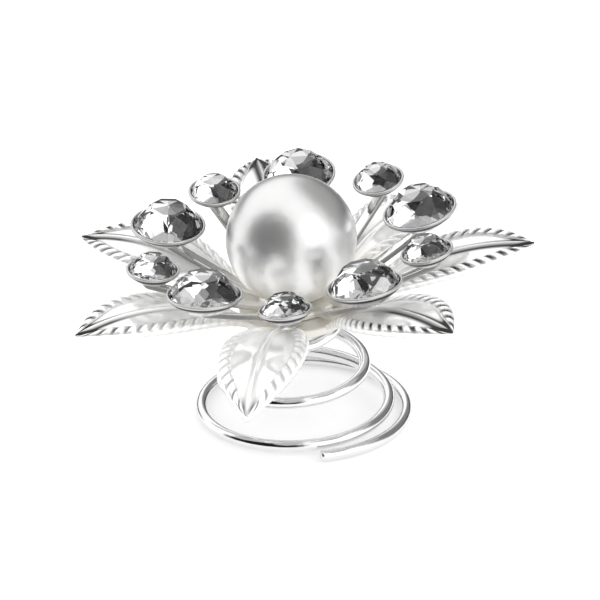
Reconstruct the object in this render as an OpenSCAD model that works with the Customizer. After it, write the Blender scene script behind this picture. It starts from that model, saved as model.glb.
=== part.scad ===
// A spiral bun pin: a flower of metal leaves, set stones and one pearl, on a wire coil
// that is turned into a hair bun like a corkscrew. Lengths are in millimetres and +Z is up.
// The origin lies on the surface that the coil stands on, on the coil's axis.
// Azimuths are seen from above: 0 is +X, 90 is +Y, which is the back.

/* [Coil] */
// Thickness of the coil's wire
wire_d = 0.9; // [0.7:0.05:1.2]
// Radius of the wire's middle line at its free end
coil_r = 8.4; // [7:0.1:10]
// Radius of the wire's middle line under the pad
coil_top_r = 2.8; // [2.4:0.1:3]
// How far the wire climbs from its free end to the pad
coil_rise = 7.6; // [6:0.1:11]
// Number of turns
coil_turns = 3.2; // [2.8:0.1:4]
// Turns that lie flat, so that the pin stands
coil_flat_turns = 0.75; // [0.5:0.05:0.8]
// Exponent of the taper: 1 narrows evenly, more keeps the lower turns wide
coil_taper = 1.35; // [1:0.05:1.6]
// Exponent of the climb: 1 climbs evenly, more starts gently
coil_lift = 1.25; // [1.1:0.05:1.5]
// Azimuth of the free end
coil_start_deg = -78; // [-120:1:0]

/* [Pad and peg] */
// Radius of the pad that the wire is soldered to
pad_r = 3.6; // [3.5:0.1:4.4]
// Thickness of the pad
pad_t = 0.6; // [0.4:0.05:1]
// How deep the wire's upper end sits in the solder under the pad
solder_sink = 0.15; // [0.1:0.05:0.3]
// Thickness of the peg that holds the pearl
peg_d = 1; // [0.7:0.1:1.4]
// Length of the peg inside the pearl
peg_depth = 3.6; // [2.5:0.1:5]
// How far the pad, and the flower on it, leans over
lean_deg = 6.4; // [0:0.2:8]
// Azimuth that it leans towards
lean_azimuth = 208; // [170:1:260]

/* [Leaves] */
// Number of leaves
leaf_count = 7; // [5:1:8]
// Azimuth of the first leaf
leaf_start_deg = 1; // [-20:0.5:20]
// Radius that the leaf tips reach
leaf_tip_r = 18.4; // [16:0.1:22]
// Width of a leaf at its widest place
leaf_w = 6.6; // [5:0.1:7.6]
// Thickness of the leaf metal
leaf_t = 0.5; // [0.4:0.05:0.6]
// How far a leaf climbs from the hub to its highest place
leaf_climb = 3.8; // [2:0.1:4.2]
// Where a leaf is widest, as a share of its length
leaf_widest = 0.55; // [0.45:0.01:0.65]
// Where a leaf is highest, as a share of its length
leaf_highest = 0.76; // [0.6:0.01:0.95]
// Width of a leaf's stem where it leaves the hub
stem_w = 2; // [1.4:0.1:2.4]
// How far a leaf's sides hang below its middle
leaf_camber = 0.2; // [0:0.05:0.5]
// Width of the roped border
border_w = 0.95; // [0.6:0.05:1.1]
// Height of the roped border above the leaf
border_h = 0.35; // [0.2:0.05:0.45]
// Number of notches along each side
notches = 14; // [8:1:16]
// Depth of the notches in the border
notch_depth = 0.2; // [0.05:0.05:0.2]
// Width of the vein
vein_w = 0.5; // [0.3:0.05:0.8]
// Height of the vein above the leaf
vein_h = 0.25; // [0.1:0.05:0.4]
// Radius of the leaves' hub
leaf_hub_r = 4.6; // [4:0.1:5.2]
// Thickness of the leaves' hub
leaf_hub_t = 0.65; // [0.65:0.05:1]

/* [Pearl] */
// Diameter of the pearl
pearl_d = 10; // [8:0.1:11]

/* [Stones and cups] */
// Diameter of a large stone
large_d = 5.3; // [4.4:0.1:5.8]
// Diameter of a small stone
small_d = 3.6; // [2.6:0.1:4]
// Distance of a large stone from the pearl's axis
large_r = 10.2; // [9.8:0.1:12]
// How much farther out the small stones lie than the large ones
small_out = 0.7; // [-0.3:0.1:1.5]
// Height of the large stones' girdles above the pearl's middle
large_lift = 0.25; // [0:0.05:2]
// Height of the small stones' girdles above the pearl's middle
small_lift = 0.05; // [0:0.05:2]
// Azimuth of the first large stone, at the back: the others follow clockwise
large_start_deg = 86.5; // [82:0.5:91]
// Azimuth of the first small stone, at the right of the first large one
small_start_deg = 51.5; // [46:0.5:55]
// How far the stones lean in towards the pearl
stone_tilt = 8; // [0:1:15]
// Height of a stone's crown, as a share of its diameter
crown_share = 0.28; // [0.18:0.01:0.32]
// Width of a stone's table, as a share of its diameter
table_share = 0.55; // [0.45:0.01:0.62]
// Depth of a stone below its girdle, as a share of its diameter
base_share = 0.13; // [0.08:0.01:0.16]
// Thickness of the stones' girdles
girdle_t = 0.16; // [0.1:0.02:0.24]
// Wall of the cups
cup_wall = 0.2; // [0.15:0.05:0.35]
// How far a cup's rim stands above the girdle
cup_rim = 0.04; // [0.02:0.01:0.2]
// Radius of the hub that the arms start from
spray_hub_r = 3; // [2.4:0.1:3.2]
// Thickness of that hub
spray_hub_t = 0.5; // [0.5:0.05:0.8]
// Width of an arm
arm_w = 0.9; // [0.6:0.05:1.1]
// Thickness of an arm
arm_t = 0.45; // [0.3:0.05:0.5]

/* [Clearances] */
// Gap between stacked pieces, and round a stone in its cup
seat_gap = 0.04; // [0.02:0.01:0.08]
// Gap round the peg in its holes
peg_gap = 0.05; // [0.03:0.01:0.1]

/* [Hidden] */
// Stones of each size, each of them a node
STONE_PAIRS = 5;
LARGE_NAMES = [for (i = [1:STONE_PAIRS]) str("large_stone_", i)];
SMALL_NAMES = [for (i = [1:STONE_PAIRS]) str("small_stone_", i)];

// Rings in one turn of the coil, and sides of its wire
WIRE_RINGS = 32;
WIRE_SIDES = 10;
// Facets round a stone's table, and corners round its girdle
TABLE_SIDES = 8;
GIRDLE_SIDES = 2 * TABLE_SIDES;
// Width of a stone's middle corners and of its base, as shares of its diameter
MIDDLE_SHARE = 0.8;
BASE_WIDTH_SHARE = 0.66;
// Degrees that each leaf, from the first one on, is bent sideways from its even place
LEAF_TURNS = [-4.5, -6, -4.5, -0.5, 0, 0, 0, 0];
// How far each leaf is bent down at its tip, as a share of its climb
LEAF_BENDS = [-0.15, 0.84, 0, 0.05, 0, 0.66, -0.2, 0];
// Fullness of the leaf's outline: 2 gives nearly straight sides at the tip and the stem
LEAF_FULLNESS = 2;
// Blunt width of a leaf's tip, as a share of its width
TIP_SHARE = 0.04;
// Share of a leaf's length over which its vein and border rise to their full height
RELIEF_START = 0.08;
// Flat sides of the leaves' hub
HUB_SIDES = 42;
// How far neighbours of one solid reach into each other, and a leaf's stem into its hub
JOIN = 0.05;
STEM_JOIN = 0.4;
// Width and length of the wire's rounded end, as shares of its radius
BLUNT_WIDTH = 0.6;
BLUNT_LENGTH = 0.4;
// Widest border and vein near a leaf's ends, and its underside, as shares of half its width
BORDER_MOST = 0.5;
VEIN_MOST = 0.2;
UNDER_SHARE = 0.9;
// Share of its height that the vein loses by the tip
VEIN_FADE = 0.5;
// Where an arm starts inside its hub, as a share of the hub's radius
ARM_ROOT = 0.7;
// How far the tools that cut holes run past both faces
THROUGH = 1;

wire_r = wire_d / 2;
pad_z = coil_rise + wire_d - solder_sink;
leaf_hub_z = pad_z + pad_t + seat_gap;
spray_hub_z = leaf_hub_z + leaf_hub_t + seat_gap;
pearl_z = spray_hub_z + spray_hub_t + seat_gap + pearl_d / 2;
small_r = large_r + small_out;
large_z = pearl_z + large_lift;
small_z = pearl_z + small_lift;
stone_step = 360 / STONE_PAIRS;
peg_hole_r = peg_d / 2 + peg_gap;
leaf_root_r = leaf_hub_r - STEM_JOIN;

function unit(v) = v / norm(v);

// Triangles of a closed tube whose rings all have the same number of points
function tube_faces(rings, sides) = concat(
    [for (r = [0:rings - 2], s = [0:sides - 1])
        [r * sides + s, (r + 1) * sides + s, (r + 1) * sides + (s + 1) % sides]],
    [for (r = [0:rings - 2], s = [0:sides - 1])
        [r * sides + s, (r + 1) * sides + (s + 1) % sides, r * sides + (s + 1) % sides]],
    [for (s = [1:sides - 2]) [0, s, s + 1]],
    [for (s = [1:sides - 2]) [(rings - 1) * sides, (rings - 1) * sides + s + 1, (rings - 1) * sides + s]]
);

// The wire's middle line, where turn counts from the free end to the pad
function coil_radius(turn) =
    coil_top_r + (coil_r - coil_top_r) * (1 - pow(turn / coil_turns, coil_taper));
function coil_climb(turn) =
    pow(max(0, turn - coil_flat_turns) / (coil_turns - coil_flat_turns), coil_lift);
function coil_azimuth(turn) = coil_start_deg + 360 * turn;
function coil_middle(turn) = [
    coil_radius(turn) * cos(coil_azimuth(turn)),
    coil_radius(turn) * sin(coil_azimuth(turn)),
    wire_r + coil_rise * coil_climb(turn)
];
function coil_heading(turn) =
    unit(coil_middle(min(turn + 0.01, coil_turns)) - coil_middle(max(turn - 0.01, 0)));

// One ring of the wire, of the given radius, square to the middle line
function wire_ring(turn, radius) =
    let (ahead = coil_heading(turn))
    let (side = unit(cross([0, 0, 1], ahead)))
    let (up = cross(ahead, side))
    [for (s = [0:WIRE_SIDES - 1])
        let (a = 360 * (s + 0.5) / WIRE_SIDES)
        coil_middle(turn) + radius * (cos(a) * side + sin(a) * up)];

// Places of a leaf along its length, from 0 at the stem to 1 at the tip
function leaf_reach(share) = leaf_root_r + (leaf_tip_r - leaf_root_r) * share;
function leaf_height(share, bend) =
    leaf_climb * (1 - pow((leaf_highest - share) / leaf_highest, 2) - bend * pow(share, 2));
function leaf_swell(share) =
    pow(share / leaf_widest, LEAF_FULLNESS * leaf_widest)
    * pow((1 - share) / (1 - leaf_widest), LEAF_FULLNESS * (1 - leaf_widest));
function leaf_half(share) =
    norm([max(leaf_swell(share), TIP_SHARE) * leaf_w, stem_w * (1 - share)]) / 2;

// One section of a leaf: the upper side from left to right, then the underside back
function leaf_ring(k, bend) =
    let (share = k / (2 * notches))
    let (half = leaf_half(share))
    let (cut = (k % 2) * notch_depth)
    let (edge = half - cut / 2 * half / leaf_w)
    let (border = min(border_w, half * BORDER_MOST))
    let (vein = min(vein_w / 2, half * VEIN_MOST))
    let (start = min(1, share / RELIEF_START))
    let (crest = (border_h - cut) * start * border / border_w)
    let (rib = vein_h * start * (1 - share * VEIN_FADE))
    let (upper = [
        [edge, 0], [half - border / 2, crest], [half - border, 0],
        [vein, 0], [0, rib], [-vein, 0],
        [border - half, 0], [border / 2 - half, crest], [-edge, 0]
    ])
    let (under = [[-edge * UNDER_SHARE, -leaf_t], [0, -leaf_t], [edge * UNDER_SHARE, -leaf_t]])
    [for (p = concat(upper, under))
        [leaf_reach(share), p[0],
            p[1] + leaf_height(share, bend) - leaf_camber * pow(2 * p[0] / leaf_w, 2)]];

// Corners of a cut stone of diameter d, with the middle of its girdle's upper edge at the origin
function stone_circle(radius, height, sides, turn) =
    [for (i = [0:sides - 1])
        [radius * cos(360 * (i + turn) / sides), radius * sin(360 * (i + turn) / sides), height]];
// Height of the middle corners at which the main facets are flat
function middle_height(d) =
    crown_share * d * (1 - MIDDLE_SHARE * cos(180 / TABLE_SIDES)) / (1 - table_share);

module coil_wire() {
    steps = ceil(WIRE_RINGS * coil_turns);
    blunt = wire_ring(0, wire_r * BLUNT_WIDTH);
    rings = concat([[for (p = blunt) p - coil_heading(0) * wire_r * BLUNT_LENGTH]],
        [for (k = [0:steps]) wire_ring(coil_turns * k / steps, wire_r)]);
    polyhedron(points = [for (ring = rings) each ring], faces = tube_faces(len(rings), WIRE_SIDES));
}

// Leans the flower over about the place where the wire meets the pad
module leaned() {
    pivot = [coil_middle(coil_turns)[0], coil_middle(coil_turns)[1], pad_z];
    translate(pivot) rotate([0, 0, lean_azimuth]) rotate([0, lean_deg, 0]) rotate([0, 0, -lean_azimuth])
        translate(-pivot) children();
}

module spiral_pin() {
    color("silver") union() {
        coil_wire();
        leaned() translate([0, 0, pad_z]) cylinder(r = pad_r, h = pad_t, $fn = 64);
        leaned() translate([0, 0, pad_z + pad_t - JOIN])
            cylinder(d = peg_d, h = pearl_z - pearl_d / 2 + peg_depth - pad_z - pad_t + JOIN, $fn = 32);
    }
}

module leaf(bend) {
    rings = [for (k = [0:2 * notches]) leaf_ring(k, bend)];
    polyhedron(points = [for (ring = rings) each ring], faces = tube_faces(len(rings), len(rings[0])));
}

module leaf_rosette() {
    color("gainsboro") leaned() difference() {
        translate([0, 0, leaf_hub_z]) union() {
            linear_extrude(height = leaf_hub_t) polygon(
                [for (i = [0:HUB_SIDES - 1])
                    leaf_hub_r * [cos(360 * i / HUB_SIDES), sin(360 * i / HUB_SIDES)]]);
            for (i = [0:leaf_count - 1])
                rotate([0, 0, leaf_start_deg + 360 / leaf_count * i + LEAF_TURNS[i]])
                    translate([0, 0, leaf_hub_t - JOIN]) leaf(LEAF_BENDS[i]);
        }
        translate([0, 0, leaf_hub_z - THROUGH])
            cylinder(r = peg_hole_r, h = leaf_hub_t + 2 * THROUGH, $fn = 32);
    }
}

// Puts a stone or its cup in its place round the pearl
module set_at(reach, height, azimuth) {
    rotate([0, 0, azimuth]) translate([reach, 0, height]) rotate([0, -stone_tilt, 0]) children();
}

// A shallow cup for a stone of diameter d, with its rim just over the girdle
module cup(d) {
    inner_r = d / 2 + seat_gap;
    floor_r = BASE_WIDTH_SHARE * d / 2 + seat_gap;
    depth = base_share * d + girdle_t + seat_gap;
    rotate_extrude($fn = 64) polygon([
        [0, -depth - cup_wall], [floor_r, -depth - cup_wall], [inner_r + cup_wall, -girdle_t - seat_gap],
        [inner_r + cup_wall, cup_rim], [inner_r, cup_rim], [inner_r, -girdle_t - seat_gap],
        [floor_r, -depth], [0, -depth]
    ]);
}

// A flat arm from the hub's edge up to the middle of a cup's underside
module arm(reach, height, azimuth, d) {
    cup_bottom = base_share * d + girdle_t + seat_gap + cup_wall;
    out_x = reach + cup_bottom * sin(stone_tilt);
    out_z = height - cup_bottom * cos(stone_tilt) - arm_t / 2 + JOIN;
    hub_z = spray_hub_z + spray_hub_t / 2;
    rotate([0, 0, azimuth]) rotate([90, 0, 0]) linear_extrude(height = arm_w, center = true) polygon([
        [spray_hub_r * ARM_ROOT, hub_z - arm_t / 2], [spray_hub_r + arm_t, hub_z - arm_t / 2],
        [out_x, out_z - arm_t / 2], [out_x + arm_w, out_z - arm_t / 4],
        [out_x + arm_w, out_z + arm_t / 4], [out_x - arm_t, out_z + arm_t / 2],
        [spray_hub_r + arm_t / 2, hub_z + arm_t / 2], [spray_hub_r * ARM_ROOT, hub_z + arm_t / 2]
    ]);
}

module stone_spray() {
    color("darkgray") leaned() difference() {
        union() {
            translate([0, 0, spray_hub_z]) cylinder(r = spray_hub_r, h = spray_hub_t, $fn = 64);
            for (i = [0:STONE_PAIRS - 1]) {
                set_at(large_r, large_z, large_start_deg - stone_step * i) cup(large_d);
                arm(large_r, large_z, large_start_deg - stone_step * i, large_d);
                set_at(small_r, small_z, small_start_deg - stone_step * i) cup(small_d);
                arm(small_r, small_z, small_start_deg - stone_step * i, small_d);
            }
        }
        translate([0, 0, spray_hub_z - THROUGH])
            cylinder(r = peg_hole_r, h = spray_hub_t + 2 * THROUGH, $fn = 32);
    }
}

// A round cut stone: a table, eight star, eight main and sixteen girdle facets over a flat back
module cut_stone(d) {
    table = stone_circle(table_share * d / 2, crown_share * d, TABLE_SIDES, 0);
    middle = stone_circle(MIDDLE_SHARE * d / 2, middle_height(d), TABLE_SIDES, 0.5);
    girdle = stone_circle(d / 2, 0, GIRDLE_SIDES, 0);
    lower = stone_circle(d / 2, -girdle_t, GIRDLE_SIDES, 0);
    back = stone_circle(BASE_WIDTH_SHARE * d / 2, -girdle_t - base_share * d, GIRDLE_SIDES, 0);
    m = TABLE_SIDES;
    g = m + TABLE_SIDES;
    l = g + GIRDLE_SIDES;
    b = l + GIRDLE_SIDES;
    polyhedron(points = concat(table, middle, girdle, lower, back), faces = concat(
        [[for (i = [TABLE_SIDES - 1:-1:0]) i]],
        [for (i = [0:TABLE_SIDES - 1]) [i, (i + 1) % TABLE_SIDES, m + i]],
        [for (i = [0:TABLE_SIDES - 1]) [i, m + i, g + 2 * i]],
        [for (i = [0:TABLE_SIDES - 1]) [i, g + 2 * i, m + (i + TABLE_SIDES - 1) % TABLE_SIDES]],
        [for (i = [0:TABLE_SIDES - 1]) [m + i, g + 2 * i + 1, g + 2 * i]],
        [for (i = [0:TABLE_SIDES - 1]) [m + i, g + (2 * i + 2) % GIRDLE_SIDES, g + 2 * i + 1]],
        [for (i = [0:GIRDLE_SIDES - 1])
            [g + i, g + (i + 1) % GIRDLE_SIDES, l + (i + 1) % GIRDLE_SIDES, l + i]],
        [for (i = [0:GIRDLE_SIDES - 1])
            [l + i, l + (i + 1) % GIRDLE_SIDES, b + (i + 1) % GIRDLE_SIDES, b + i]],
        [[for (i = [0:GIRDLE_SIDES - 1]) b + i]]
    ));
}

module large_stone(i) {
    color("aliceblue") leaned()
        set_at(large_r, large_z, large_start_deg - stone_step * (i - 1)) cut_stone(large_d);
}

module small_stone(i) {
    color("lavender") leaned()
        set_at(small_r, small_z, small_start_deg - stone_step * (i - 1)) cut_stone(small_d);
}

module pearl() {
    color("whitesmoke") leaned() difference() {
        translate([0, 0, pearl_z]) sphere(d = pearl_d, $fn = 96);
        translate([0, 0, pearl_z - pearl_d / 2 - THROUGH])
            cylinder(r = peg_hole_r, h = peg_depth + peg_gap + THROUGH, $fn = 32);
    }
}

spiral_pin();
leaf_rosette();
stone_spray();
pearl();
for (i = [1:STONE_PAIRS]) large_stone(i);
for (i = [1:STONE_PAIRS]) small_stone(i);
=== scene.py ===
import bpy
import numpy as np
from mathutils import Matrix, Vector


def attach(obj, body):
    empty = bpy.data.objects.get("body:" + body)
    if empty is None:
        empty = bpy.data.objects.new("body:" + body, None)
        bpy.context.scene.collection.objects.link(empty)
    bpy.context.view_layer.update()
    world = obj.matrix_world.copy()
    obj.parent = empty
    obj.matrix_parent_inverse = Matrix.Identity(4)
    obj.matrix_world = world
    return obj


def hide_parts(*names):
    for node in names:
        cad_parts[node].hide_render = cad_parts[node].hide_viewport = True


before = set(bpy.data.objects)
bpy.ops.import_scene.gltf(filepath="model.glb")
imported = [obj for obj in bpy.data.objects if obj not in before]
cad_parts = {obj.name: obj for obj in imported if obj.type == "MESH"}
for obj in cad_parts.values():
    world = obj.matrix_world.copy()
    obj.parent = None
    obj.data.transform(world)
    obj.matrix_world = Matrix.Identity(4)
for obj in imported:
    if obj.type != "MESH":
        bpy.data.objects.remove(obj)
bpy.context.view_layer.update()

# The pin: one bright-plated steel wire wound into a tapering coil, the round pad soldered on its
# upper end, and the peg in the pad's middle that carries the flower. The coil is turned on a cone,
# most of its first turn lies flat, and the solder shows as a small shiny fillet.
mm = 0.001
wire_r = 0.45 * mm
coil_r = 8.4 * mm
coil_top_r = 2.8 * mm
coil_rise = 7.6 * mm
coil_turns = 3.2
coil_flat_turns = 0.75
coil_taper = 1.35
coil_lift = 1.25
coil_start = np.radians(-78)
pad_r = 3.6 * mm
pad_t = 0.6 * mm
pad_edge = 0.18 * mm
solder_sink = 0.15 * mm
fillet_r = 1.15 * wire_r
fillet_h = 0.45 * mm
fillet_spread = 0.7 * mm
peg_r = 0.5 * mm
peg_tip_r = 0.7 * peg_r
peg_depth = 3.6 * mm
peg_sink = 0.1 * mm
peg_bevel = 0.15 * mm
peg_clearance = 0.05 * mm
lean = np.radians(6.4)
lean_azimuth = np.radians(208)
seat_gap = 0.04 * mm
leaf_hub_t = 0.65 * mm
spray_hub_t = 0.5 * mm
# The wire's rounded lower end: where each extra ring lies along the wire, and its radius, in wire radii
tip_places = np.array([-0.45, -0.42, -0.33, -0.18])
tip_radii = np.array([0.35, 0.6, 0.82, 0.95])
# How finely the curves are stepped, and how near its axis a turned profile ends
wire_rings_per_turn = 90
wire_sides = 24
pad_sides = 72
peg_sides = 32
fillet_rings = 14
corner_steps = 5
pole_r = 0.02 * mm

pad_z = coil_rise + 2 * wire_r - solder_sink
leaf_hub_z = pad_z + pad_t + seat_gap
spray_hub_z = leaf_hub_z + leaf_hub_t + seat_gap
pearl_bottom_z = spray_hub_z + spray_hub_t + seat_gap
peg_top = pearl_bottom_z + peg_depth


def closed(rows, ring=False):
    """A skin over rows of points, shaped rows by columns by 3, where every row is a loop.

    Neighbouring rows are joined by quads. With ring the last row is joined to the first, and
    otherwise a middle point closes each end. The skin's signed volume, the sum of a . (b x c) over
    its triangles, says whether it is inside out, and then it is turned.
    """
    count, columns = rows.shape[:2]
    index = np.arange(count * columns).reshape(count, columns)
    if ring:
        index = np.concatenate([index, index[:1]])
    onward = np.roll(index, -1, axis=1)
    quads = np.stack([index[:-1], onward[:-1], onward[1:], index[1:]], axis=-1).reshape(-1, 4)
    points = rows.reshape(-1, 3)
    fans = np.zeros((0, 3), int)
    if not ring:
        ends = np.full(columns, len(points))
        fans = np.concatenate([np.stack([onward[0], index[0], ends], axis=-1),
                               np.stack([index[-1], onward[-1], ends + 1], axis=-1)])
        points = np.concatenate([points, rows[:1].mean(axis=1), rows[-1:].mean(axis=1)])
    corners = points[np.concatenate([quads[:, :3], quads[:, [0, 2, 3]], fans])]
    if (corners[:, 0] * np.cross(corners[:, 1], corners[:, 2])).sum() < 0:
        quads, fans = quads[:, ::-1], fans[:, ::-1]
    return points, quads, fans


def lathe(profile, sides, ring=False):
    """Turns (radius, height) pairs about the upright axis: x = r cos a, y = r sin a, z = height."""
    a = np.arange(sides) * 2 * np.pi / sides
    r, z = np.array(profile, float).T[:, :, None]
    return closed(np.stack([r * np.cos(a), r * np.sin(a), z + 0 * a], axis=-1), ring)


def rounded(profile, radius):
    """A closed (radius, height) profile whose corners are cut by arcs of about the given radius.

    Each corner becomes the curve (1-t)^2 p + 2t(1-t) corner + t^2 q between points p and q that
    lie on its two edges, at most half an edge away.
    """
    corner = np.array(profile, float)
    before, after = np.roll(corner, 1, axis=0) - corner, np.roll(corner, -1, axis=0) - corner
    reach_before = np.minimum(radius / np.linalg.norm(before, axis=1), 0.5)[:, None]
    reach_after = np.minimum(radius / np.linalg.norm(after, axis=1), 0.5)[:, None]
    p, q = (corner + before * reach_before)[:, None], (corner + after * reach_after)[:, None]
    t = np.linspace(0, 1, corner_steps)[None, :, None]
    return ((1 - t) ** 2 * p + 2 * t * (1 - t) * corner[:, None] + t ** 2 * q).reshape(-1, 2)


def placed(name, mesh, node):
    """Makes the object of a mesh. It rides on the root and stands for a CAD node."""
    made = bpy.data.objects.new(name, mesh)
    bpy.context.scene.collection.objects.link(made)
    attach(made, "root")
    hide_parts(node)


def piece(name, skins, material, slot, node, sharp, **marks):
    """Joins skins into one smooth piece, on which an edge that bends by more than sharp stays crisp.

    marks are number attributes: for each skin in turn, an array with a value for every point.
    """
    starts = np.cumsum([0] + [len(points) for points, _, _ in skins])
    faces = []
    for start, (_, quads, fans) in zip(starts, skins):
        faces += (quads + start).tolist() + (fans + start).tolist()
    mesh = bpy.data.meshes.new(name)
    mesh.from_pydata(np.concatenate([points for points, _, _ in skins]).tolist(), [], faces)
    mesh.polygons.foreach_set("use_smooth", np.full(len(faces), True))
    mesh.set_sharp_from_angle(angle=sharp)
    for mark, values in marks.items():
        mesh.attributes.new(mark, "FLOAT", "POINT").data.foreach_set("value", np.concatenate(values))
    mesh.materials.append(material)
    placed(name, mesh, node)


def wire_middle(turn):
    """The wire's middle line: the radius falls as turn^taper, and the climb grows as turn^lift."""
    r = coil_top_r + (coil_r - coil_top_r) * (1 - (turn / coil_turns) ** coil_taper)
    climb = np.maximum(turn - coil_flat_turns, 0) / (coil_turns - coil_flat_turns)
    a = coil_start + 2 * np.pi * turn
    return np.stack([r * np.cos(a), r * np.sin(a), wire_r + coil_rise * climb ** coil_lift], axis=-1)


def tube(middle, radii, sides):
    """A round tube along points: each ring is radius * (cos a * side + sin a * up) about its point."""
    ahead = np.gradient(middle, axis=0)
    ahead /= np.linalg.norm(ahead, axis=1)[:, None]
    side = np.cross([0, 0, 1], ahead)
    side /= np.linalg.norm(side, axis=1)[:, None]
    up = np.cross(ahead, side)
    a = (np.arange(sides) + 0.5) * 2 * np.pi / sides
    ring = np.cos(a)[None, :, None] * side[:, None] + np.sin(a)[None, :, None] * up[:, None]
    return closed(middle[:, None] + radii[:, None, None] * ring)


wire = wire_middle(np.linspace(0, coil_turns, int(wire_rings_per_turn * coil_turns)))
lean_pivot = np.array([wire[-1, 0], wire[-1, 1], pad_z])


def lean_points(points):
    """Turns points by the flower's lean about the place where the wire meets the pad."""
    out = np.array([np.cos(lean_azimuth), np.sin(lean_azimuth), 0])
    across = np.array([-out[1], out[0], 0])
    p = points - lean_pivot
    u, v, z = p @ out, p @ across, p[:, 2]
    u, z = u * np.cos(lean) + z * np.sin(lean), z * np.cos(lean) - u * np.sin(lean)
    return u[:, None] * out + v[:, None] * across + z[:, None] * [0, 0, 1] + lean_pivot


def leaned(skin):
    """Turns a skin by the flower's lean."""
    points, quads, fans = skin
    return lean_points(points), quads, fans


class Value:
    """One output socket. Arithmetic on it adds Math nodes beside it and gives a new Value."""

    def __init__(self, nodes, socket):
        self.nodes, self.socket = nodes, socket

    def math(self, operation, first, second):
        return self.nodes.node("ShaderNodeMath", {"operation": operation}, first, second)

    def __add__(self, other):
        return self.math("ADD", self, other)

    def __sub__(self, other):
        return self.math("SUBTRACT", self, other)

    def __rsub__(self, other):
        return self.math("SUBTRACT", other, self)

    def __mul__(self, other):
        return self.math("MULTIPLY", self, other)

    __radd__ = __add__
    __rmul__ = __mul__


class Nodes:
    """The nodes of a material or of the world."""

    def __init__(self, tree):
        self.tree = tree

    def feed(self, made, sockets):
        """Links a Value to each of a node's sockets, named or numbered, or sets a constant on it."""
        for key, value in sockets.items():
            socket = made.inputs[key.replace("_", " ") if isinstance(key, str) else key]
            if isinstance(value, Value):
                self.tree.links.new(value.socket, socket)
            else:
                socket.default_value = value

    def node(self, kind, settings=None, *values, out=0, **sockets):
        """Adds a node: its settings first, then what its sockets hold, by place or by name."""
        made = self.tree.nodes.new(kind)
        for key, value in (settings or {}).items():
            setattr(made, key, value)
        self.feed(made, dict(enumerate(values)) | sockets)
        return Value(self, made.outputs[out])

    def mix(self, factor, first, second):
        """The colour first where factor is 0, and second where it is 1."""
        return self.node("ShaderNodeMix", {"data_type": "RGBA"}, out="Result", Factor=factor,
                         A=first, B=second)

    def step(self, value, zero, one):
        """A soft step that is 0 until value reaches zero, and 1 once it reaches one."""
        return self.node("ShaderNodeMapRange", {"interpolation_type": "SMOOTHSTEP"}, Value=value,
                         From_Min=zero, From_Max=one)

    def noise(self, size, detail):
        """Soft noise from 0 to 1 whose blotches are about size across, on Object coordinates."""
        place = self.node("ShaderNodeTexCoord", out="Object")
        return self.node("ShaderNodeTexNoise", None, Vector=place, Scale=1 / size, Detail=detail,
                         Roughness=0.55)

    def near_axis(self, inner, outer):
        """1 within inner of the pin's axis, and 0 beyond outer."""
        place = self.node("ShaderNodeTexCoord", out="Object")
        flat = self.node("ShaderNodeVectorMath", {"operation": "MULTIPLY"}, place, (1, 1, 0))
        reach = self.node("ShaderNodeVectorMath", {"operation": "LENGTH"}, flat, out="Value")
        return self.step(reach, outer, inner)

    def mark(self, name):
        """The number attribute of that name on the piece."""
        return self.node("ShaderNodeAttribute", {"attribute_name": name}, out="Fac")


class Finish(Nodes):
    """One material, and the nodes that are added to it."""

    def __init__(self, name, **constants):
        self.material = bpy.data.materials.new(name)
        self.material.use_nodes = True
        super().__init__(self.material.node_tree)
        self.set(**constants)

    def set(self, **sockets):
        self.feed(self.tree.nodes["Principled BSDF"], sockets)

    def ripple(self, height, distance, strength):
        """Bends the surface's light as if height, from 0 to 1, stood out by distance."""
        self.set(Normal=self.node("ShaderNodeBump", None, Height=height, Distance=distance,
                                  Strength=strength))


def plated(name, grain, **constants):
    """Bright silver plate: metal with a fine orange-peel ripple whose bumps are grain across."""
    made = Finish(name, Metallic=1.0, **constants)
    made.ripple(made.noise(grain, detail=2.0), distance=0.02 * mm, strength=0.5)
    return made


wire_plate = plated("wire_plate", 0.5 * mm)
wire_clouds = wire_plate.noise(3.0 * mm, detail=3.0)
wire_plate.set(Base_Color=wire_plate.mix(wire_clouds * 0.5, (0.86, 0.86, 0.865, 1),
                                         (0.7396, 0.7396, 0.7439, 1)),
               Roughness=0.10 + wire_clouds * 0.10)
heading = (wire[1] - wire[0]) / np.linalg.norm(wire[1] - wire[0])
wire_skin = tube(np.concatenate([wire[0] + tip_places[:, None] * wire_r * heading, wire]),
                 np.concatenate([tip_radii, np.ones(len(wire))]) * wire_r, wire_sides)
pad_profile = rounded([(0, pad_z), (pad_r, pad_z), (pad_r, pad_z + pad_t), (0, pad_z + pad_t)], pad_edge)
pad = leaned(lathe(pad_profile[pad_profile[:, 0] > pole_r], pad_sides))
peg = leaned(lathe([(peg_sink, pad_z + peg_sink), (peg_r, pad_z + peg_sink), (peg_r, peg_top - peg_bevel),
                    (peg_tip_r, peg_top)], peg_sides))
rise = np.linspace(0, 1, fillet_rings)
fillet_profile = np.stack([np.append(pole_r, fillet_r + fillet_spread * rise ** 3),
                           np.append(0, fillet_h * rise)], axis=-1)
fillet, fillet_quads, fillet_fans = lathe(fillet_profile, peg_sides)
solder = fillet + (wire[-1] - [0, 0, solder_sink]), fillet_quads, fillet_fans
piece("wire_pin", [wire_skin, pad, peg, solder], wire_plate.material, "wire_plate", "spiral_pin",
      sharp=np.radians(50))

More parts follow.
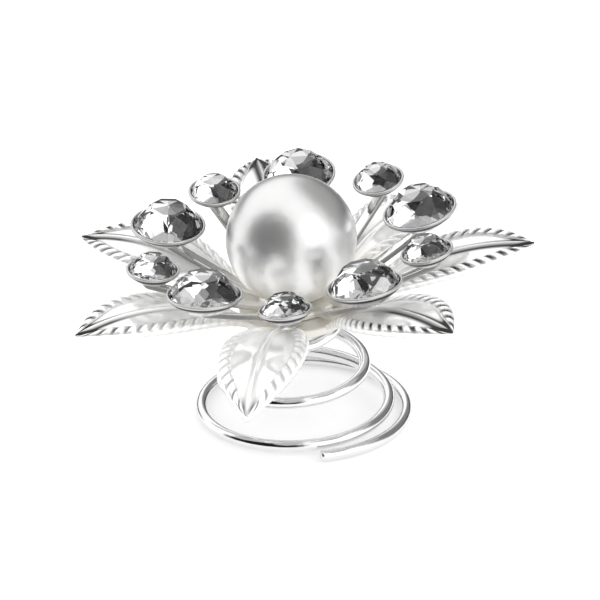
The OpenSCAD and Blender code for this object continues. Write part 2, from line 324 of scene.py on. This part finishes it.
# The leaves: one stamping of silver-plated metal, seven pointed leaves round a flat hub. Each leaf
# has a roped border and a raised vein, struck by the die, and its tip curls a little downwards.
# The stamping lies on the pad and is held there by the peg and adhesive.
leaf_count = 7
leaf_start = np.radians(1)
leaf_tip_r = 18.4 * mm
leaf_hub_r = 4.6 * mm
leaf_root_r = leaf_hub_r - 0.4 * mm
leaf_hub_edge = 0.15 * mm
leaf_w = 6.6 * mm
leaf_t = 0.5 * mm
leaf_climb = 3.8 * mm
leaf_widest = 0.55
leaf_highest = 0.76
leaf_camber = 0.2 * mm
under_hollow = 0.08 * mm
tip_share = 0.04
stem_w = 2.0 * mm
border_w = 1.1 * mm
border_h = 0.36 * mm
border_share = 0.5
rope_pitch = 0.88 * mm
rope_skew = 0.55
rope_low = 0.35
rope_fullness = 0.7
scallop = 0.1 * mm
edge_notch = 0.06 * mm
vein_w = 0.42 * mm
vein_h = 0.32 * mm
vein_taper = 0.5
vein_groove = 0.34 * mm
relief_start = 0.08
hub_hole_r = peg_r + peg_clearance
join = 0.05 * mm
# The edge's section from the top down and the underside's first column, as shares of the leaf's half
# width and of its thickness
wall_widths = np.array([1.0, 0.97, 0.9])
wall_depths = np.array([-0.35, -0.8, -1.0])
under_width = 0.85
# How finely a leaf is stepped, and how closely its columns crowd towards the vein
leaf_rows = 165
border_columns = 13
blade_columns = 20
under_columns = 12
vein_crowding = 1.5
leaf_hub_sides = 72
# Painted shade under the pearl, warm where the pearl is mirrored: the colour of leaves and cups near the axis
shaded_middle_colour = (0.90, 0.87, 0.80, 1)
# The colour of the painted shade, on the leaves and on the setting
painted_shade_colour = (0.02, 0.0196, 0.019, 1)
# Painted shade in the relief's hollows, where shade and dark reflections fall: how it deepens along a
# leaf, how far it climbs the strands, and how wide its strokes are at the border's foot and beside the vein
shade_at_stem = 0.05
shade_gain = 1.4
shade_curve = 1.7
shade_limit = 1.3
climb_least = 0.8
climb_at_stem = 0.4
climb_gain = 1.4
climb_sharpness = 3.2
foot_at_stem = 0.6
border_stroke = 0.10 * mm
border_stroke_gain = 0.3 * mm
vein_stroke = 0.05 * mm
vein_stroke_gain = 0.16 * mm
# Dulling and painted shade on the hub and on the leaves' edges, and what their undersides add to that
hub_dull_and_shade = 0.25
edge_dull_and_shade = 0.2
under_dull_and_shade = 0.3
# Degrees that each leaf was bent sideways, and the share of the climb that its tip was bent down
leaf_turns = [-4.5, -6, -4.5, -0.5, 0, 0, 0]
leaf_bends = [-0.15, 0.84, 0, 0.05, 0, 0.66, -0.2]
# How deep the painted shade is on each leaf, set leaf by leaf
leaf_shades = [1.7, 1.0, 2.2, 1.1, 1.0, 0.7, 1.8]


def leaf_half(share):
    """Half the leaf's width: a hump that is highest at leaf_widest, drawn out to the stem."""
    swell = (share / leaf_widest) ** (2 * leaf_widest) \
        * ((1 - share) / (1 - leaf_widest)) ** (2 - 2 * leaf_widest)
    return np.hypot(np.maximum(swell, tip_share) * leaf_w, stem_w * (1 - share)) / 2


def leaf_spine(share, bend):
    """Height of the leaf's middle: a parabola with its top at leaf_highest, less the tip's bend."""
    return leaf_climb * (1 - ((leaf_highest - share) / leaf_highest) ** 2 - bend * share ** 2)


def strands(along, q):
    """The rope's strands, 1 on top and 0 between two: |sin| of the length, skewed with q."""
    return np.abs(np.sin(np.pi * (along / rope_pitch + rope_skew * q)))


def leaf_side(share, half, along, start, shade):
    """Half of a leaf's upper side, from edge to vein: its y, its relief's height, its painted shade's mark.

    The border is sqrt(1 - q^2) times the strands, where q runs from -1 at the edge to 1 at the
    border's inner side, and the vein is exp(-(y / w)^2). The painted shade lies between the strands,
    at the border's foot and beside the vein, where shade falls, and all of it deepens from the stem to the
    tip.
    """
    border = np.minimum(border_w, half * border_share)
    q = -np.cos(np.linspace(0, np.pi, border_columns))
    strand = strands(along, q)
    crown = np.maximum(1 - q ** 2, 0) ** 0.5
    border_y = half - border * (q + 1) / 2 - scallop * start * (1 - strand) * (1 - q) * half / leaf_w
    rope = rope_low + (1 - rope_low) * strand ** rope_fullness
    rope = border_h * start * crown * border / border_w * rope
    blade_y = (half - border) * (1 - np.linspace(0, 1, blade_columns)[1:]) ** vein_crowding
    vein = vein_h * start * (1 - vein_taper * share) * np.exp(-(blade_y / (vein_w / 2)) ** 2)

    depth = np.minimum(shade * (shade_at_stem + shade_gain * share ** shade_curve), 1)
    climb = climb_least + min(shade, shade_limit) * (climb_at_stem + climb_gain * share)
    gap = np.clip(climb - climb_sharpness * strand, 0, 1) * crown ** 0.5 * start * depth
    by_border = (half - border - blade_y) / (border_stroke + border_stroke_gain * share ** 4)
    by_vein = (blade_y - vein_groove) / (vein_stroke + vein_stroke_gain * share * (1 + shade ** 2 / 3))
    foot = (foot_at_stem + (1 - foot_at_stem) * share) * np.exp(-by_border ** 2)
    foot = (foot + start * np.exp(-by_vein ** 2)) * (depth * min(shade, 1) ** 2)
    return (np.concatenate([border_y, blade_y], axis=1), np.concatenate([rope, vein], axis=1),
            np.concatenate([gap, foot], axis=1))


def leaf_skin(number, turn, bend, shade):
    """One leaf as rows along its length, each row going over the upper side and back underneath.

    Height = spine - camber y^2 + relief. The marks that come with the skin are those of the painted
    shade on the upper side, and a light dulling and painted shade on the edge and the underside.
    """
    share = np.linspace(0, 1, leaf_rows)[:, None]
    half = leaf_half(share)
    along = leaf_root_r + (leaf_tip_r - leaf_root_r) * share
    start = np.minimum(1, share / relief_start)
    top_y, top_z, top_mark = leaf_side(share, half, along, start, shade)
    wall_y = wall_widths * half - edge_notch * start * (1 - strands(along, -1.0))
    wall_z = wall_depths * leaf_t + 0 * half
    # The edge and, more, the underside are dulled and darkened with painted shade
    wall_mark = edge_dull_and_shade + 0 * wall_y
    under = np.linspace(under_width, -under_width, under_columns)
    under_y, under_z = under * half, -leaf_t + under_hollow * (1 - under ** 2) + 0 * half
    under_mark = edge_dull_and_shade + under_dull_and_shade * np.minimum(1, 3 * share) + 0 * under_y
    y = np.concatenate([top_y, -top_y[:, -2::-1], -wall_y, -under_y, wall_y[:, ::-1]], axis=1)
    z = np.concatenate([top_z, top_z[:, -2::-1], wall_z, under_z, wall_z[:, ::-1]], axis=1)
    mark = np.concatenate([top_mark, top_mark[:, -2::-1], wall_mark, under_mark, wall_mark], axis=1)
    z = z + leaf_spine(share, bend) - leaf_camber * (2 * y / leaf_w) ** 2
    a = leaf_start + 2 * np.pi / leaf_count * number + np.radians(turn)
    rows = np.stack([along * np.cos(a) - y * np.sin(a), along * np.sin(a) + y * np.cos(a),
                     z + leaf_hub_z + leaf_hub_t - join], axis=-1)
    return leaned(closed(rows)), np.append(mark.ravel(), [0, 0])


def hub_skin(r, bottom, thickness, edge, sides):
    """A flat round hub with softened edges and the peg's hole through its middle."""
    section = [(hub_hole_r, bottom), (r, bottom), (r, bottom + thickness), (hub_hole_r, bottom + thickness)]
    return leaned(lathe(rounded(section, edge), sides, ring=True))


leaf_plate = plated("leaf_plate", 0.35 * mm, Specular_IOR_Level=0.1)
groove = leaf_plate.mark("groove")
leaf_clouds = leaf_plate.noise(2.5 * mm, detail=3.0)
leaf_bright = leaf_plate.mix(leaf_clouds * 0.5, (0.96, 0.96, 0.955, 1), (0.88, 0.88, 0.875, 1))
# Near the axis the leaves are painted with the shade under the pearl, and mirror less
leaf_shaded_middle = leaf_plate.near_axis(inner=4.5 * mm, outer=8.5 * mm)
leaf_colour = leaf_plate.mix(leaf_shaded_middle * 0.85, leaf_bright, shaded_middle_colour)
leaf_mirror = 0.60 - leaf_plate.near_axis(inner=6.0 * mm, outer=15.0 * mm) * 0.24
# The mark paints shade into the base colour: in the relief's hollows, on the hub, edges and undersides
leaf_plate.set(Base_Color=leaf_plate.mix(groove, leaf_colour, painted_shade_colour),
               Metallic=leaf_mirror * (1 - groove * 0.9),
               Roughness=0.12 + leaf_clouds * 0.08 + groove * 0.2)
leaf_hub = hub_skin(leaf_hub_r, leaf_hub_z, leaf_hub_t, leaf_hub_edge, leaf_hub_sides)
# The hub is dulled and darkened with painted shade, under the pearl
stamping = [(leaf_hub, np.full(len(leaf_hub[0]), hub_dull_and_shade))]
stamping += [leaf_skin(number, *shape)
             for number, shape in enumerate(zip(leaf_turns, leaf_bends, leaf_shades))]
piece("leaf_stamping", [skin for skin, _ in stamping], leaf_plate.material, "leaf_plate", "leaf_rosette",
      sharp=np.radians(70), groove=[mark for _, mark in stamping])

# The spray: ten flat arms soldered to a small hub and to the ten cups that they hold up round the
# pearl. Plated like the leaves. Each cup's thin rim is pressed over the edge of its stone.
pearl_d = 10.0 * mm
pearl_z = pearl_bottom_z + pearl_d / 2
stone_pairs = 5
stone_tilt = np.radians(8)
base_share = 0.13
base_width_share = 0.66
girdle_t = 0.16 * mm
cup_wall = 0.2 * mm
cup_rim = 0.04 * mm
cup_edge = 0.09 * mm
cup_sides = 48
slope_rings = 5
# Painted shade on the cups: on the rim, on the wall, darkest at the waist where the wall meets the slope
rim_band = 0.05 * mm
waist_over = 0.03 * mm
waist_under = 0.2 * mm
slope_fade = 0.5 * mm
rim_shade = 0.4
wall_shade = 0.5
waist_shade = 1.0
slope_shade = 0.25
spray_hub_r = 3.0 * mm
spray_hub_edge = 0.12 * mm
spray_hub_sides = 64
arm_w = 0.9 * mm
arm_t = 0.45 * mm
arm_squareness = 0.35
arm_root_r = 0.7 * spray_hub_r
arm_overreach = 0.9 * arm_w
arm_bend_share = 0.35
# Painted shade along the arms' two edges, and how fast it deepens from the hub
arm_shade = 0.75
arm_shade_gain = 1.5
arm_sides = 24
arm_rings = 28
# Where the arm's end begins to close, how long it takes, and its rings, in shares of the arm
arm_end_start = 0.97
arm_end_length = 0.031
arm_end_rings = [0.98, 0.988, 0.994, 0.998, 1]
# Name, diameter, distance from the pearl's axis, height of the girdle, azimuth of the first one
stone_kinds = [("large", 5.3 * mm, 10.2 * mm, pearl_z + 0.25 * mm, np.radians(86.5)),
               ("small", 3.6 * mm, 10.9 * mm, pearl_z + 0.05 * mm, np.radians(51.5))]
stones = [(f"{kind}_stone_{k + 1}", d, reach, height, first - 2 * np.pi / stone_pairs * k)
          for kind, d, reach, height, first in stone_kinds for k in range(stone_pairs)]


def set_at(points, reach, height, azimuth):
    """Leans points in by the stones' tilt, and moves them out along their azimuth to a cup's place."""
    x, y, z = points.T
    x, z = x * np.cos(stone_tilt) - z * np.sin(stone_tilt), z * np.cos(stone_tilt) + x * np.sin(stone_tilt)
    x = x + reach
    return np.stack([x * np.cos(azimuth) - y * np.sin(azimuth), x * np.sin(azimuth) + y * np.cos(azimuth),
                     z + height], axis=-1)


def cup_skin(d, reach, height, azimuth):
    """A cup turned on the lathe from its section, with every corner softened, and its painted shade.

    The section goes out under the floor, up the slope and the wall, and back inside. The painted shade
    has one value on the rim, one on the wall and its darkest at the waist, and fades from there down the
    slope.
    """
    inner_r = d / 2 + seat_gap
    outer_r = inner_r + cup_wall
    floor_r = base_width_share * d / 2 + seat_gap
    floor_z = -base_share * d - girdle_t - seat_gap
    waist_z = -girdle_t - seat_gap
    slope = np.linspace([floor_r, floor_z - cup_wall], [outer_r, waist_z], slope_rings)
    profile = rounded([(pole_r, floor_z - cup_wall), *slope, (outer_r, cup_rim), (inner_r, cup_rim),
                       (inner_r, waist_z), (floor_r, floor_z), (pole_r, floor_z)], cup_edge)
    points, quads, fans = lathe(profile, cup_sides, ring=True)
    z = points[:, 2]
    mark = np.interp(z, [waist_z - slope_fade, waist_z - waist_under], [slope_shade, waist_shade])
    mark = np.where(z > waist_z + waist_over, wall_shade, mark)
    mark = np.where(z > cup_rim - rim_band, rim_shade, mark)
    return leaned((set_at(points, reach, height, azimuth), quads, fans)), mark


def arm_skin(d, reach, height, azimuth):
    """A flat arm: a rounded oblong section carried along a bent line in the arm's upright plane.

    The line is the Bezier curve of the four points begin, bend, near and end, from the hub to the
    cup. The section is (|cos|^s, |sin|^s) with the signs kept and s = arm_squareness, which is an
    oblong with soft corners, and at the cup's end it closes as a quarter ellipse. The mark paints
    shade along the arm's two edges, deepening from the hub outwards.
    """
    cup_bottom = base_share * d + girdle_t + seat_gap + cup_wall
    end = np.array([reach + cup_bottom * np.sin(stone_tilt) + arm_overreach,
                    height - cup_bottom * np.cos(stone_tilt) - arm_t / 2 + join])
    hub_mid = spray_hub_z + spray_hub_t / 2
    begin = np.array([arm_root_r, hub_mid])
    bend = np.array([spray_hub_r + arm_t, hub_mid])
    near = bend + (end - bend) * arm_bend_share
    t = np.append(np.linspace(0, arm_end_start, arm_rings), arm_end_rings)[:, None]
    line = (1 - t) ** 3 * begin + 3 * t * (1 - t) ** 2 * bend + 3 * t ** 2 * (1 - t) * near + t ** 3 * end
    ahead = np.gradient(line, axis=0)
    ahead /= np.linalg.norm(ahead, axis=1)[:, None]
    a = np.arange(arm_sides) * 2 * np.pi / arm_sides
    full = (1 - np.clip((t - arm_end_start) / arm_end_length, 0, 1) ** 2) ** 0.5
    y = full * arm_w / 2 * np.sign(np.cos(a)) * np.abs(np.cos(a)) ** arm_squareness
    thick = full * arm_t / 2 * np.sign(np.sin(a)) * np.abs(np.sin(a)) ** arm_squareness
    x = line[:, :1] - ahead[:, 1:] * thick
    z = line[:, 1:] + ahead[:, :1] * thick
    rows = np.stack([x * np.cos(azimuth) - y * np.sin(azimuth), x * np.sin(azimuth) + y * np.cos(azimuth), z],
                    axis=-1)
    mark = arm_shade * np.minimum(1, arm_shade_gain * t) * np.abs(np.cos(a)) ** 3
    return leaned(closed(rows)), np.append(mark.ravel(), [0, edge_dull_and_shade])


setting_plate = plated("setting_plate", 0.3 * mm, Specular_IOR_Level=0.1)
seam = setting_plate.mark("seam")
# Near the axis the setting is painted with the shade under the pearl, and mirrors less
setting_shaded_middle = setting_plate.near_axis(inner=3.5 * mm, outer=7.5 * mm)
setting_colour = setting_plate.mix(setting_shaded_middle * 0.8, (0.92, 0.92, 0.91, 1), shaded_middle_colour)
# The mark paints shade into the base colour, and makes the plate rougher and less mirror-like there
setting_plate.set(Base_Color=setting_plate.mix(seam, setting_colour, painted_shade_colour),
                  Metallic=(0.9 - setting_shaded_middle * 0.4) * (1 - seam * seam * 0.9),
                  Roughness=0.12 + seam * 0.3)
spray_hub = hub_skin(spray_hub_r, spray_hub_z, spray_hub_t, spray_hub_edge, spray_hub_sides)
spray = [(spray_hub, np.zeros(len(spray_hub[0])))]
for _, *stone in stones:
    spray += [cup_skin(*stone), arm_skin(*stone)]
piece("cups_and_arms", [skin for skin, _ in spray], setting_plate.material, "setting_plate", "stone_spray",
      sharp=np.radians(60), seam=[mark for _, mark in spray])

# The stones: round glass, cut with a table, eight star, eight main and sixteen girdle facets, and
# silver foil on the cut underside that throws the light back up. Each sits in its cup by adhesive.
table_share = 0.55
middle_share = 0.8
crown_share = 0.28
back_share = 0.75
table_sides = 8
girdle_sides = 2 * table_sides


def circle(radius, height, sides, turn=0.0):
    """Corners on a circle, at the angles 2 pi (i + turn) / sides."""
    a = 2 * np.pi * (np.arange(sides) + turn) / sides
    return np.stack([radius * np.cos(a), radius * np.sin(a), height + 0 * a], axis=-1)


def facets(*corners):
    """Facets from the numbers of their corners: an array for each corner, with one entry a facet."""
    return np.stack(corners, axis=-1).tolist()


def cut_stone(name, d, reach, height, azimuth):
    """A cut stone with flat facets: clear above the girdle, and foil on the facets below it.

    The middle corners lie at the height at which each main facet is flat, which is
    crown * (1 - m cos 22.5) / (1 - t) for a table share t and a middle share m.
    """
    middle_z = crown_share * d * (1 - middle_share * np.cos(np.pi / table_sides)) / (1 - table_share)
    rings = [circle(table_share * d / 2, crown_share * d, table_sides),
             circle(middle_share * d / 2, middle_z, table_sides, 0.5),
             circle(d / 2, 0.0, girdle_sides), circle(d / 2, -girdle_t, girdle_sides),
             circle(base_width_share * d / 2, -girdle_t - base_share * d * back_share, table_sides, 0.5),
             np.array([[0, 0, -girdle_t - base_share * d]])]
    points = lean_points(set_at(np.concatenate(rings), reach, height, azimuth))
    middle, girdle, low, back, tip = np.cumsum([len(ring) for ring in rings])[:5]
    i, j = np.arange(table_sides), np.arange(girdle_sides)
    onward, around, second = (i + 1) % table_sides, (j + 1) % girdle_sides, (2 * i + 2) % girdle_sides
    crown = [i.tolist()]
    crown += facets(middle + i, onward, i)
    crown += facets(i, middle + (i - 1) % table_sides, girdle + 2 * i, middle + i)
    crown += facets(girdle + 2 * i, girdle + 2 * i + 1, middle + i)
    crown += facets(girdle + 2 * i + 1, girdle + second, middle + i)
    crown += facets(girdle + j, low + j, low + around, girdle + around)
    foil = facets(low + 2 * i, back + i, low + 2 * i + 1)
    foil += facets(low + 2 * i + 1, back + i, low + second)
    foil += facets(low + second, back + i, back + onward)
    foil += facets(back + i, tip + 0 * i, back + onward)
    mesh = bpy.data.meshes.new(f"cut_{name}")
    mesh.from_pydata(points.tolist(), [], crown + foil)
    mesh.materials.append(stone_glass.material)
    mesh.materials.append(stone_foil.material)
    mesh.polygons.foreach_set("material_index", [0] * len(crown) + [1] * len(foil))
    # Painted reflection: each facet gets a random grey for its foil, standing in for the light and dark
    # things it mirrors
    seed = int(azimuth * 1000) % 997
    foil_glints = np.random.default_rng(seed).uniform(0, 1, len(crown) + len(foil))
    mesh.attributes.new("tone", "FLOAT", "FACE").data.foreach_set("value", foil_glints)
    placed(f"cut_{name}", mesh, name)


stone_glass = Finish("stone_glass", Base_Color=(0.98, 0.98, 0.985, 1), Roughness=0.0, IOR=1.56,
                     Transmission_Weight=1.0)
stone_foil = Finish("stone_foil", Metallic=1.0, Roughness=0.04)
# The foil's colour is a painted reflection, lighter or darker facet by facet
stone_foil.set(Base_Color=stone_foil.mix(stone_foil.mark("tone"), (0.58, 0.58, 0.59, 1),
                                         (0.95, 0.95, 0.95, 1)))
for stone in stones:
    cut_stone(*stone)

# The pearl: a resin bead under many coats of pearl lacquer, half-drilled and stuck on the peg. The
# lacquer mirrors the room softly, and its clouds and fine specks show close up.
pearl_r = pearl_d / 2
pearl_sides = 128
pearl_rings = 110
pearl_top_gap = 0.02
bore_rings = 6
drill_r = peg_r + peg_clearance
drill_pole_r = 0.05 * drill_r
drill_top = peg_depth - pearl_r + peg_clearance
drill_bevel = 0.3 * mm
bore = np.linspace(drill_top - drill_bevel, drill_bevel - pearl_r, bore_rings)
# The ball's angles, from the rim of the hole to just short of the top
ball = np.linspace(np.arcsin(drill_r / pearl_r) - np.pi / 2, np.pi / 2 - pearl_top_gap, pearl_rings)
pearl_profile = np.concatenate([
    [(drill_pole_r, drill_top), (drill_r, drill_top)],
    np.stack([np.full(bore_rings, drill_r), bore], axis=-1),
    np.stack([pearl_r * np.cos(ball), pearl_r * np.sin(ball)], axis=-1)]) + [0, pearl_z]
pearl_coat = Finish("pearl_coat", Metallic=0.87, Coat_Weight=0.1, Coat_Roughness=0.25)
pearl_clouds = pearl_coat.noise(2.2 * mm, detail=2.0)
pearl_specks = pearl_coat.noise(0.22 * mm, detail=1.0) * 0.25 + pearl_coat.noise(1.1 * mm, detail=1.0)
pearl_place = pearl_coat.node("ShaderNodeTexCoord", out="Object")
pearl_height = pearl_coat.node("ShaderNodeSeparateXYZ", None, pearl_place, out="Z")
# Painted light: the pearl's lower part is painted lighter, standing in for the bright floor and metal it
# mirrors
pearl_lit_below = pearl_coat.step(pearl_height, zero=pearl_z + 0.2 * mm, one=pearl_z - 3.5 * mm)
pearl_top = pearl_coat.mix(pearl_clouds, (0.78, 0.78, 0.773, 1), (0.73, 0.73, 0.73, 1))
pearl_coat.set(Base_Color=pearl_coat.mix(pearl_lit_below, pearl_top, (0.93, 0.925, 0.905, 1)),
               Roughness=0.30 + pearl_clouds * 0.08)
pearl_coat.ripple(pearl_specks, distance=0.06 * mm, strength=0.35)
piece("pearl_bead", [leaned(lathe(pearl_profile, pearl_sides))], pearl_coat.material, "pearl_coat", "pearl",
      sharp=np.radians(50))

# The studio: a white sheet under soft white light from all round, one window-like lamp at the right
# front, and a dark room behind the camera that the pearl and the metal mirror.
floor_half = 0.13
floor_mesh = bpy.data.meshes.new("studio_floor")
floor_mesh.from_pydata([(-floor_half, -floor_half, 0), (floor_half, -floor_half, 0),
                        (floor_half, floor_half, 0), (-floor_half, floor_half, 0)], [], [(0, 1, 2, 3)])
floor_paper = Finish("floor_paper", Base_Color=(0.5, 0.5, 0.5, 1), Roughness=0.9,
                     Emission_Color=(1.0, 1.0, 1.0, 1), Emission_Strength=0.45)
floor_mesh.materials.append(floor_paper.material)
floor = bpy.data.objects.new("studio_floor", floor_mesh)
bpy.context.scene.collection.objects.link(floor)


def direction(azimuth, elevation):
    """The unit vector that points to an azimuth and an elevation in degrees, seen from the pin."""
    a, e = np.radians(azimuth), np.radians(elevation)
    return Vector((np.cos(a) * np.cos(e), np.sin(a) * np.cos(e), np.sin(e)))


lamp_distance = 0.6
lamp_data = bpy.data.lights.new("softbox_right", "AREA")
lamp_data.size = 0.42
lamp_data.energy = 0.35
lamp = bpy.data.objects.new("softbox_right", lamp_data)
lamp.location = direction(azimuth=-40, elevation=32) * lamp_distance
lamp.rotation_mode = "QUATERNION"
lamp.rotation_quaternion = (-lamp.location).to_track_quat("-Z", "Y")
bpy.context.scene.collection.objects.link(lamp)

world = bpy.data.worlds.new("studio_world")
world.use_nodes = True
bpy.context.scene.world = world
sky = Nodes(world.node_tree)
place = sky.node("ShaderNodeTexCoord", out="Generated")
upward = sky.node("ShaderNodeSeparateXYZ", None, place, out="Z")


def patch(azimuth, elevation, inner, outer):
    """1 within inner degrees of a direction and 0 beyond outer, from the cosine of the angle."""
    facing = sky.node("ShaderNodeVectorMath", {"operation": "DOT_PRODUCT"}, place,
                      direction(azimuth, elevation), out="Value")
    return sky.step(facing, float(np.cos(np.radians(outer))), float(np.cos(np.radians(inner))))


def below(full, none):
    """1 at and under the elevation full, and 0 from none upwards, both in degrees."""
    return sky.step(upward, float(np.sin(np.radians(none))), float(np.sin(np.radians(full))))


def grey(level):
    """A colour of one level, which may be above 1 for light."""
    return level, level, level, 1


# What the pearl and the metal mirror: a light room, its far wall, a low doorway and a dark part
far_wall = patch(azimuth=42, elevation=25, inner=30, outer=47)
doorway = below(full=9, none=15) * patch(azimuth=84, elevation=0, inner=50, outer=66)
dark_part = patch(azimuth=-131, elevation=18, inner=38, outer=52)
room = sky.mix(far_wall, grey(1.25), (0.24, 0.24, 0.236, 1))
room = sky.mix(doorway, room, (0.02, 0.02, 0.019, 1))
room = sky.mix(dark_part, room, (0.013, 0.013, 0.012, 1))
# What the light rays that leave the cut stones meet: a glow in front, a lamp at the right, and two
# dark corners at the left
front_glow = patch(azimuth=-60, elevation=50, inner=20, outer=50)
right_lamp = patch(azimuth=42, elevation=46, inner=24, outer=34)
back_corner = patch(azimuth=142, elevation=44, inner=34, outer=42)
front_corner = patch(azimuth=-147, elevation=48, inner=14, outer=26)
gathered = sky.mix(front_glow, grey(0.68), grey(1.0))
gathered = sky.mix(right_lamp, gathered, grey(2.2))
gathered = sky.mix(back_corner, gathered, grey(0.02))
gathered = sky.mix(front_corner, gathered, grey(0.1))
leaving_stone = sky.node("ShaderNodeLightPath", out="Is Transmission Ray")
mirrored = sky.mix(leaving_stone, room, gathered)
# The light that falls on matt surfaces, and what the camera sees behind all, is one plain white
lighting = sky.node("ShaderNodeLightPath", out="Is Diffuse Ray")
seen = sky.node("ShaderNodeLightPath", out="Is Camera Ray")
sky.feed(world.node_tree.nodes["Background"],
         {"Color": sky.mix(lighting + seen, mirrored, grey(1.9)), "Strength": 1.0})

camera_elevation = 26
camera_distance = 0.33
view_width = 46 * mm
aim = Vector((0.0, 0.0, 9.6 * mm))
camera_data = bpy.data.cameras.new("camera")
camera_data.sensor_width = 36.0
camera_data.lens = camera_data.sensor_width * camera_distance / view_width
camera_data.clip_start, camera_data.clip_end = 0.01, 10.0
camera_back = direction(azimuth=-90, elevation=camera_elevation)
camera = bpy.data.objects.new("camera", camera_data)
camera.location = aim + camera_back * camera_distance
camera.rotation_mode = "QUATERNION"
camera.rotation_quaternion = (-camera_back).to_track_quat("-Z", "Y")
bpy.context.scene.collection.objects.link(camera)
bpy.context.scene.camera = camera
bpy.context.scene.view_settings.view_transform = "Standard"
